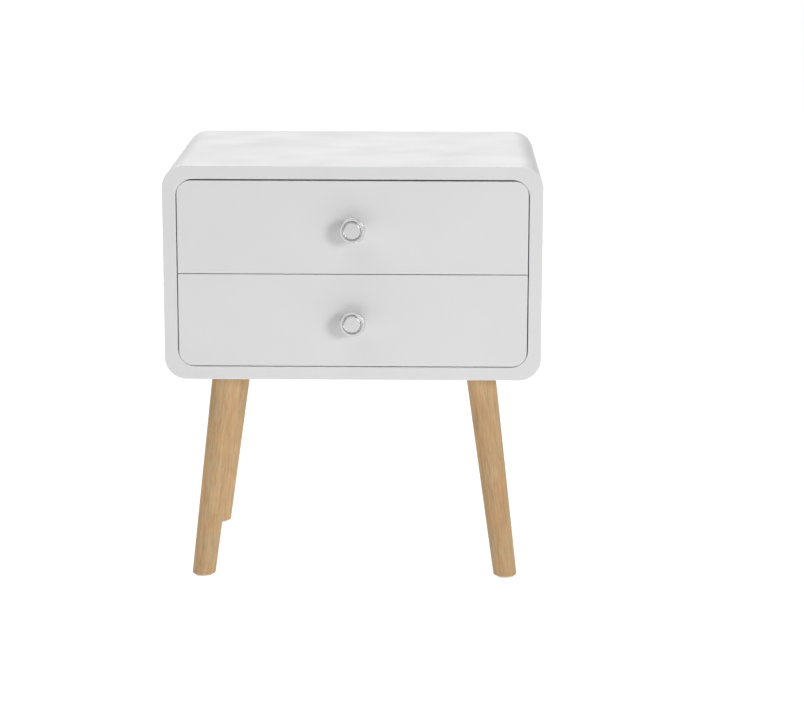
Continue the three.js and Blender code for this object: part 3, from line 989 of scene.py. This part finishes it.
@dataclass
class Leg:
    """One round, tapered, leaning leg with its plate, screws, bolt and glide."""

    finishes: Finishes
    oak: bpy.types.Material
    side: Side
    row: str  # "front" or "back"
    underside: float  # the height of the cabinet's underside
    top_radius: float = 19 * MM
    foot_radius: float = 15 * MM
    lean: float = math.radians(7.25)
    foot_round: float = 1.8 * MM
    plate_corner: float = 6 * MM
    plate_edge: float = 0.4 * MM
    screw_inset: float = 8 * MM
    screw: PanScrew = field(default_factory=lambda: PanScrew(radius=3.8 * MM, height=2.2 * MM))
    glide_round: float = 0.8 * MM
    sides: int = 96

    @property
    def place(self) -> str:
        """The end of the names of this leg's nodes."""
        return f"{self.row}_{self.side.word}"

    def _axis_point(self, height: float) -> Vector:
        """Finds a point of the leg's axis.

        Args:
            height: the point's height above the floor.

        Returns:
            The point.
        """
        low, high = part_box("leg_plate_" + self.place)
        top = centre_of(low, high)
        drift = self.side.value * (self.underside - height) * math.tan(self.lean)
        return Vector((top.x + drift, top.y, height))

    def build_stem(self) -> None:
        """Models the leg: a bar, tapered, laid over and cut level at both ends."""
        low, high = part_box("leg_" + self.place)
        spare = self.top_radius
        length = self.underside / math.cos(self.lean)
        taper = (self.top_radius - self.foot_radius) / length
        head = self._axis_point(self.underside)
        run = (self._axis_point(0) - head).normalized()
        start, end = head - run * spare, head + run * (length + spare)
        leg = Workpiece.bar("oak_leg_" + self.place, start, end,
                            self.top_radius + taper * spare, self.sides)
        foot_scale = (self.foot_radius - taper * spare) / (self.top_radius + taper * spare)
        with leg.editing():
            leg.pick(Pick.CORNERS, lambda corner: (corner.co - end).dot(run) > -NEAR)
            bpy.ops.transform.resize(value=(foot_scale,) * 3, center_override=end)
        leg.slice(Vector((0, 0, high.z)), AXES["Z"], drop=True)
        leg.slice(Vector((0, 0, low.z)), -AXES["Z"], drop=True)
        leg.round_edges(level_with("Z", low.z), self.foot_round, segments=6)
        leg.close_up()
        leg.smooth()
        leg.hand_over("cabinet", Slot.OAK, self.oak, "leg_" + self.place)

    def build_plate(self) -> None:
        """Models the steel plate and its four screws."""
        node = "leg_plate_" + self.place
        low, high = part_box(node)
        plate = Workpiece.block("steel_plate_" + self.place, low, high)
        plate.round_edges(along("Z"), self.plate_corner, segments=8)
        plate.soften(self.plate_edge, segments=2)
        plate.smooth()
        plate.hand_over("cabinet", Slot.ZINC, self.finishes.zinc, node)
        reach = (high.x - low.x) / 2 - self.screw_inset
        middle = centre_of(low, high)
        places = [
            Vector((middle.x + x, middle.y + y, low.z))
            for x in (-reach, reach) for y in (-reach, reach)
        ]
        heads = self.screw.drive("plate_screws_" + self.place, places, -AXES["Z"])
        heads.hand_over("cabinet", Slot.ZINC, self.finishes.zinc)

    def build_glide(self) -> None:
        """Models the nylon disc that the foot stands on."""
        node = "glide_" + self.place
        low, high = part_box(node)
        middle = centre_of(low, high)
        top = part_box("leg_" + self.place)[0].z
        glide = Workpiece.bar("nylon_glide_" + self.place, Vector((middle.x, middle.y, low.z)),
                              Vector((middle.x, middle.y, top)), (high.x - low.x) / 2, 64)
        glide.round_edges(level_with("Z", low.z), self.glide_round, segments=4)
        glide.smooth()
        glide.hand_over("cabinet", Slot.NYLON, self.finishes.nylon, node)

    def build(self) -> None:
        """Models the whole leg, and dresses the bolt that the frame gives."""
        self.build_stem()
        self.build_plate()
        self.build_glide()
        dress(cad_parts["hanger_bolt_" + self.place], self.finishes.zinc)


# ---- Drawers ----


@dataclass
class Knob:
    """A turned knob: a disc inside a round rim, on a waisted neck."""

    level: Level
    flange_width: float = 3.8 * MM
    shoulder_width: float = 1.0 * MM
    shoulder_drop: float = 3.4 * MM
    lip_round: float = 0.15 * MM
    groove_width: float = 2.2 * MM
    groove_depth: float = 3.4 * MM
    disc_round: float = 0.8 * MM
    rim_drop: float = 0.9 * MM
    head_thickness: float = 12 * MM
    neck_radius: float = 6 * MM
    foot_radius: float = 9 * MM
    foot_thickness: float = 1.2 * MM
    foot_flare: float = 4 * MM
    steps: int = 96

    def _profile(self, radius: float, length: float) -> list[tuple[float, float]]:
        """Works out the knob's profile.

        Args:
            radius: the knob's outer radius.
            length: how far it stands out.

        Returns:
            Pairs of a radius and a distance out from the drawer's front, from the middle
            of the face round to the middle of the foot.
        """
        flange = length - self.rim_drop
        groove_outer = radius - self.flange_width
        disc = groove_outer - self.groove_width
        floor = length - self.groove_depth
        neck_out = length - self.head_thickness
        lip = radius - self.shoulder_width
        points = [(0.0, length)]
        points += arc((disc - self.disc_round, length - self.disc_round), self.disc_round, 90, 0, 5)
        points += arc((groove_outer - self.groove_width / 2, floor + self.groove_width / 2),
                      self.groove_width / 2, 180, 360, 10)
        points += [(groove_outer, flange - self.lip_round), (groove_outer + self.lip_round, flange)]
        points += arc((lip - self.disc_round, flange - self.disc_round), self.disc_round, 90, 20, 6)
        points += [(radius, flange - self.shoulder_drop)]
        points += curve(points[-1], (radius, (flange + neck_out) / 2),
                        (self.neck_radius, neck_out), 12)
        points += curve((self.neck_radius, self.foot_flare),
                        (self.neck_radius, self.foot_thickness),
                        (self.foot_radius, self.foot_thickness), 8)
        points += [(self.foot_radius, 0.0), (0.0, 0.0)]
        return points

    def build(self) -> None:
        """Turns the knob."""
        node = self.level.value + "_knob"
        low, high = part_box(node)
        axis = centre_of(low, high)
        profile = self._profile((high.x - low.x) / 2, high.y - low.y)
        chain = [Vector((axis.x + r, high.y - out, axis.z)) for r, out in profile]
        knob = Workpiece.outline("turned_" + node, chain)
        knob.spin(axis, "Y", self.steps)
        knob.smooth(sharp_deg=50)
        finish = TurnedChrome(name="turned_chrome_" + self.level.value, centre=axis)
        knob.hand_over(self.level.value + "_drawer", Slot.CHROME, finish.material(), node)


def arc(
    centre: tuple[float, float], radius: float, start_deg: float, end_deg: float, steps: int,
) -> list[tuple[float, float]]:
    """Points round part of a circle.

    Args:
        centre: the circle's middle.
        radius: its radius.
        start_deg: the angle of the first point, in degrees.
        end_deg: the angle of the last point.
        steps: how many straight steps there are.

    Returns:
        The points, both ends included.
    """
    angles = [math.radians(start_deg + (end_deg - start_deg) * i / steps) for i in range(steps + 1)]
    return [(centre[0] + radius * math.cos(a), centre[1] + radius * math.sin(a)) for a in angles]


def curve(
    start: tuple[float, float], pull: tuple[float, float], end: tuple[float, float], steps: int,
) -> list[tuple[float, float]]:
    """Points along a curve from one point to another, drawn towards a third.

    Args:
        start: the first point.
        pull: the point that the curve bends towards.
        end: the last point.
        steps: how many straight steps there are.

    Returns:
        The points after the first, the last included.
    """
    points = []
    for i in range(1, steps + 1):
        t = i / steps
        weights = ((1 - t) ** 2, 2 * t * (1 - t), t ** 2)
        points.append(tuple(
            sum(w * p[k] for w, p in zip(weights, (start, pull, end))) for k in (0, 1)))
    return points


@dataclass
class Drawer:
    """One drawer: a lacquered front, a foil-faced box and its fittings."""

    finishes: Finishes
    level: Level
    opening_corner: float = 22 * MM
    corner_gap: float = 0.2 * MM  # between the round corners of the front and the opening
    front_edge: float = 0.5 * MM
    board_edge: float = 1.2 * MM
    bottom_edge: float = 0.3 * MM
    groove_depth: float = 5 * MM
    cam: PanScrew = field(default_factory=lambda: PanScrew(8.5 * MM, 0.9 * MM, sides=40))
    cam_inset: float = 34 * MM

    @property
    def body(self) -> str:
        """The body that the drawer's pieces ride on."""
        return self.level.value + "_drawer"

    def build_front(self) -> None:
        """Models the front, round at the two corners that follow the wrap's opening."""
        node = self.body + "_front"
        low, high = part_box(node)
        outer = high.z if self.level is Level.UPPER else low.z
        panel = "top_panel" if self.level is Level.UPPER else "bottom_panel"
        end_gap = min(abs(edge.z - outer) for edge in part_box(panel))
        side_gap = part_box("right_side_panel")[0].x - high.x
        spare = (side_gap + end_gap) / math.sqrt(2) - self.corner_gap
        corner = self.opening_corner - spare / (math.sqrt(2) - 1)
        front = Workpiece.block("lacquered_" + node, low, high)

        def at_outer_corner(edge: bmesh.types.BMEdge) -> bool:
            """True for the two edges that run back from the outer corners."""
            return along("Y")(edge) and level_with("Z", outer)(edge)

        front.round_edges(at_outer_corner, corner, segments=24)
        front.soften(self.front_edge, segments=3)
        front.smooth()
        front.hand_over(self.body, Slot.LACQUER, self.finishes.lacquer, node)

    def build_side(self, side: Side) -> None:
        """Models one side of the box, with the groove that holds the bottom.

        Args:
            side: which side.
        """
        node = f"{self.body}_{side.word}_side"
        low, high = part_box(node)
        bottom_low, bottom_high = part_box(self.body + "_bottom")
        board = Workpiece.block(f"{self.body}_{side.word}_board", low, high)
        for height in (bottom_low.z, bottom_high.z):
            board.slice(Vector((0, 0, height)), AXES["Z"])
        inner = low.x if side is Side.RIGHT else high.x
        middle = (bottom_low.z + bottom_high.z) / 2

        def in_groove(face: bmesh.types.BMFace) -> bool:
            """True for the strip of the inner face where the bottom goes in."""
            centre = face.calc_center_median()
            return level_with("X", inner)(face) and abs(centre.z - middle) < MM

        board.draw_out(Pick.FACES, in_groove, AXES["X"] * side.value * self.groove_depth)
        board.close_up()
        board.round_edges(level_with("Z", high.z), self.board_edge, segments=4)
        board.smooth()
        board.hand_over(self.body, Slot.BOARD, self.finishes.board, node)

    def build_back_and_bottom(self) -> None:
        """Models the back of the box, and the bottom in its grooves."""
        for part, word in (("back", "back_board"), ("bottom", "floor")):
            node = f"{self.body}_{part}"
            low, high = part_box(node)
            board = Workpiece.block(f"{self.body}_{word}", low, high)
            if part == "back":
                board.round_edges(
                    lambda edge: level_with("Z", high.z)(edge) and along("X")(edge),
                    self.board_edge, segments=4)
            else:
                board.soften(self.bottom_edge, segments=2)
            board.smooth()
            board.hand_over(self.body, Slot.BOARD, self.finishes.board, node)

    def build_fittings(self) -> None:
        """Models the knob's screw and the cam fittings that hold the front on."""
        node = self.level.value + "_knob_screw"
        low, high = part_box(node)
        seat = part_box(self.body + "_front")[1].y
        place = Vector(((low.x + high.x) / 2, seat, (low.z + high.z) / 2))
        screw = PanScrew(radius=(high.x - low.x) / 2, height=high.y - seat)
        head = screw.drive(self.level.value + "_knob_screw_head", [place], AXES["Y"])
        head.hand_over(self.body, Slot.ZINC, self.finishes.zinc, node)
        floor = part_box(self.body + "_bottom")[1].z
        for side in Side:
            a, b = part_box(f"{self.body}_{side.word}_side")
            face = a.x if side is Side.RIGHT else b.x
            quarter = (b.z - floor) / 4
            places = [Vector((face, a.y + self.cam_inset, floor + k * quarter)) for k in (1, 3)]
            cams = self.cam.drive(
                f"{self.body}_{side.word}_cams", places, AXES["X"] * -side.value)
            cams.hand_over(self.body, Slot.ZINC, self.finishes.zinc)

    def build(self) -> None:
        """Models the whole drawer."""
        self.build_front()
        for side in Side:
            self.build_side(side)
        self.build_back_and_bottom()
        self.build_fittings()
        Knob(self.level).build()


@dataclass
class Runner:
    """One telescopic runner: three bent sheet members, two rows of balls and the screws."""

    finishes: Finishes
    level: Level
    side: Side
    gauge: float = 1.25 * MM
    lip: float = 2.5 * MM
    bend: float = 1.2 * MM
    cut_edge: float = 0.12 * MM
    ball_radius: float = 1.45 * MM
    ball_count: int = 14
    row_length: float = 135 * MM
    screw: PanScrew = field(default_factory=lambda: PanScrew(radius=3.2 * MM, height=1.2 * MM))
    screw_shares: tuple[float, float, float] = (0.12, 0.5, 0.88)  # places along the member

    @property
    def stem(self) -> str:
        """The start of the names of this runner's nodes."""
        return f"{self.level.value}_{self.side.word}"

    def build_member(self, node: str, body: str, opens_inwards: bool) -> None:
        """Bends one member: a channel with a lip on each flange.

        Args:
            node: the frame's node that it stands for.
            body: the body that it rides on.
            opens_inwards: True if the channel opens towards the middle of the cabinet.
        """
        low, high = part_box(node)
        inwards = -self.side.value
        towards = inwards if opens_inwards else -inwards
        web = high.x if towards < 0 else low.x
        mouth = low.x if towards < 0 else high.x
        inner_web = web + towards * self.gauge
        inner_mouth = mouth - towards * self.gauge
        upper = [
            (inner_web, high.z - self.gauge), (inner_mouth, high.z - self.gauge),
            (inner_mouth, high.z - self.lip), (mouth, high.z - self.lip),
            (mouth, high.z), (web, high.z),
        ]
        lower = [(x, low.z + high.z - z) for x, z in reversed(upper)]
        section = [Vector((x, low.y, z)) for x, z in upper + lower]
        member = Workpiece.outline("rolled_" + node, section)
        with member.editing():
            bpy.ops.mesh.select_all(action="SELECT")
            bpy.ops.mesh.edge_face_add()
        member.draw_out(Pick.FACES, lambda face: True, AXES["Y"] * (high.y - low.y))
        member.close_up()
        outer_z, outer_x = (low.z, high.z), (low.x, high.x)

        def on_bend(edge: bmesh.types.BMEdge) -> bool:
            """True for the long edges on the outside of the bends."""
            spot = edge.verts[0].co
            at_z = any(abs(spot.z - z) < NEAR for z in outer_z)
            return along("Y")(edge) and at_z and any(abs(spot.x - x) < NEAR for x in outer_x)

        member.round_edges(on_bend, self.bend, segments=4)
        member.soften(self.cut_edge, segments=1)
        member.smooth()
        member.hand_over(body, Slot.ZINC, self.finishes.zinc, node)

    def build_balls(self) -> None:
        """Sets a row of balls above and below the middle member, on each side of it."""
        outer_low, outer_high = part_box(self.stem + "_cabinet_runner")
        middle_low, middle_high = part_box(self.stem + "_middle_runner")
        inner_low, inner_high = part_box(self.stem + "_drawer_runner")
        outer_x = (max(outer_low.x, middle_low.x) + min(outer_high.x, middle_high.x)) / 2
        inner_x = (max(inner_low.x, middle_low.x) + min(inner_high.x, middle_high.x)) / 2
        outer_z = (outer_high.z - self.gauge + middle_high.z) / 2
        inner_z = (middle_high.z - self.gauge + inner_high.z) / 2
        centre_z = (middle_low.z + middle_high.z) / 2
        rows = [
            ("outer", outer_x, outer_z, middle_high.y - self.row_length),
            ("inner", inner_x, inner_z, middle_low.y + self.row_length / self.ball_count),
        ]
        pitch = self.row_length / self.ball_count
        for word, x, z, start in rows:
            name = f"{self.stem}_{word}_balls"
            master = Workpiece.ball(name, Vector((x, start, z)), self.ball_radius)
            balls = master.repeat([
                Matrix.Translation((0, i * pitch, height))
                for i in range(self.ball_count) for height in (0, 2 * (centre_z - z))
            ])
            balls.smooth(sharp_deg=80)
            balls.hand_over(f"{self.stem}_runner_middle", Slot.ZINC, self.finishes.steel)

    def build_screws(self) -> None:
        """Sets the screws that hold the drawer's member to the box."""
        low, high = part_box(self.stem + "_drawer_runner")
        web = low.x if self.side is Side.RIGHT else high.x
        face = web + self.side.value * self.gauge
        length = high.y - low.y
        places = [
            Vector((face, low.y + share * length, (low.z + high.z) / 2))
            for share in self.screw_shares
        ]
        heads = self.screw.drive(
            self.stem + "_runner_screws", places, AXES["X"] * self.side.value)
        heads.hand_over(self.level.value + "_drawer", Slot.ZINC, self.finishes.zinc)

    def build(self) -> None:
        """Models the whole runner."""
        self.build_member(self.stem + "_cabinet_runner", "cabinet", True)
        self.build_member(self.stem + "_middle_runner", self.stem + "_runner_middle", True)
        self.build_member(self.stem + "_drawer_runner", self.level.value + "_drawer", False)
        self.build_balls()
        self.build_screws()


# ---- Studio ----


@dataclass
class Softbox:
    """A rectangular soft light."""

    name: str
    size: tuple[float, float]
    place: Vector
    aim: Vector
    watts: float
    spread_deg: float = 180
    in_gloss: bool = True  # False keeps its mirror image off the metal

    def build(self) -> None:
        """Hangs the light and turns it towards what it lights."""
        lamp = bpy.data.lights.new(self.name, "AREA")
        lamp.shape = "RECTANGLE"
        lamp.size, lamp.size_y = self.size
        lamp.energy = self.watts
        lamp.spread = math.radians(self.spread_deg)
        light = bpy.data.objects.new(self.name, lamp)
        light.visible_glossy = self.in_gloss
        bpy.context.scene.collection.objects.link(light)
        light.location = self.place
        light.rotation_euler = (self.aim - self.place).to_track_quat("-Z", "Y").to_euler()


@dataclass
class Studio:
    """A pale floor under even light, with a long lens a little above the cabinet."""

    floor_half: float = 40.0
    floor_thickness: float = 0.02
    floor_colour: str = "#606060"
    floor_glow: float = 1.0
    sky_strength: float = 0.02
    lens_mm: float = 112.0
    sensor_mm: float = 36.0
    view_end: float = 200.0
    camera_place: Vector = field(default_factory=lambda: Vector((0.1005, -3.2789, 0.9875)))
    look_down: float = 0.2173
    look_left: float = 0.0121
    roll: float = 0.0022

    def build_floor(self) -> None:
        """Lays a matt floor that glows, so that it stays pale all over."""
        half = self.floor_half
        piece = Workpiece.block(
            "studio_floor", Vector((-half, -half, -self.floor_thickness)), Vector((half, half, 0)))
        material = finish_material(start_material("matt_white_floor")[0], {
            "Base Color": linear(self.floor_colour), "Roughness": 0.9, "Specular IOR Level": 0.1,
            "Emission Color": linear("#FFFFFF"), "Emission Strength": self.floor_glow})
        piece.object.data.materials.append(material)

    def build_sky(self) -> None:
        """Lights the room evenly from all round."""
        world = bpy.data.worlds.new("studio_air")
        world.use_nodes = True
        background = world.node_tree.nodes["Background"]
        background.inputs["Color"].default_value = linear("#FFFFFF")
        background.inputs["Strength"].default_value = self.sky_strength
        bpy.context.scene.world = world

    def build_lights(self) -> None:
        """Hangs the softboxes."""
        middle = Vector((0, 0, 0.4))
        boxes = [
            Softbox("overhead", size=(6.0, 5.0), place=Vector((-0.45, 0.6, 2.8)), aim=middle,
                    watts=192),
            Softbox("key_right", size=(1.4, 1.4), place=Vector((2.7, -3.5, 1.5)), aim=middle,
                    watts=7.0, spread_deg=50),
            Softbox("low_front", size=(0.7, 0.12), place=Vector((0.0, -1.1, 0.08)),
                    aim=Vector((0.0, -0.16, 0.28)), watts=0.03, spread_deg=36, in_gloss=False),
        ]
        for box in boxes:
            box.build()

    def build_camera(self) -> None:
        """Sets the camera in front, slightly to the right, looking down a little."""
        data = bpy.data.cameras.new("front_view")
        data.lens = self.lens_mm
        data.sensor_width = self.sensor_mm
        data.clip_end = self.view_end
        camera = bpy.data.objects.new("front_view", data)
        bpy.context.scene.collection.objects.link(camera)
        turn = (
            Matrix.Rotation(self.look_left, 4, "Z")
            @ Matrix.Rotation(math.pi / 2 - self.look_down, 4, "X")
            @ Matrix.Rotation(self.roll, 4, "Z")
        )
        camera.matrix_world = Matrix.Translation(self.camera_place) @ turn
        bpy.context.scene.camera = camera

    def build(self) -> None:
        """Sets up the whole studio."""
        self.build_floor()
        self.build_sky()
        self.build_lights()
        self.build_camera()
        bpy.context.scene.view_settings.view_transform = "Standard"


def build_legs(finishes: Finishes) -> None:
    """Models the four legs, with a wood finish for each way of leaning.

    Args:
        finishes: the shared finishes.
    """
    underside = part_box("bottom_panel")[0].z
    for side in Side:
        lean = side.value * Leg.lean
        oak = OiledOak(name="oiled_oak_" + side.word, lean=lean).material()
        for row in ("front", "back"):
            Leg(finishes, oak, side, row, underside).build()


def main() -> None:
    """Models and dresses every piece, in the order a maker would."""
    logging.basicConfig(level=logging.INFO, format="%(name)s %(message)s")
    finishes = Finishes()
    CabinetWrap(finishes).build()
    BackPanel(finishes).build()
    build_legs(finishes)
    for level in Level:
        Drawer(finishes, level).build()
    for level in Level:
        for side in Side:
            Runner(finishes, level, side).build()
    Studio().build()


if __name__ == "__main__":
    main()
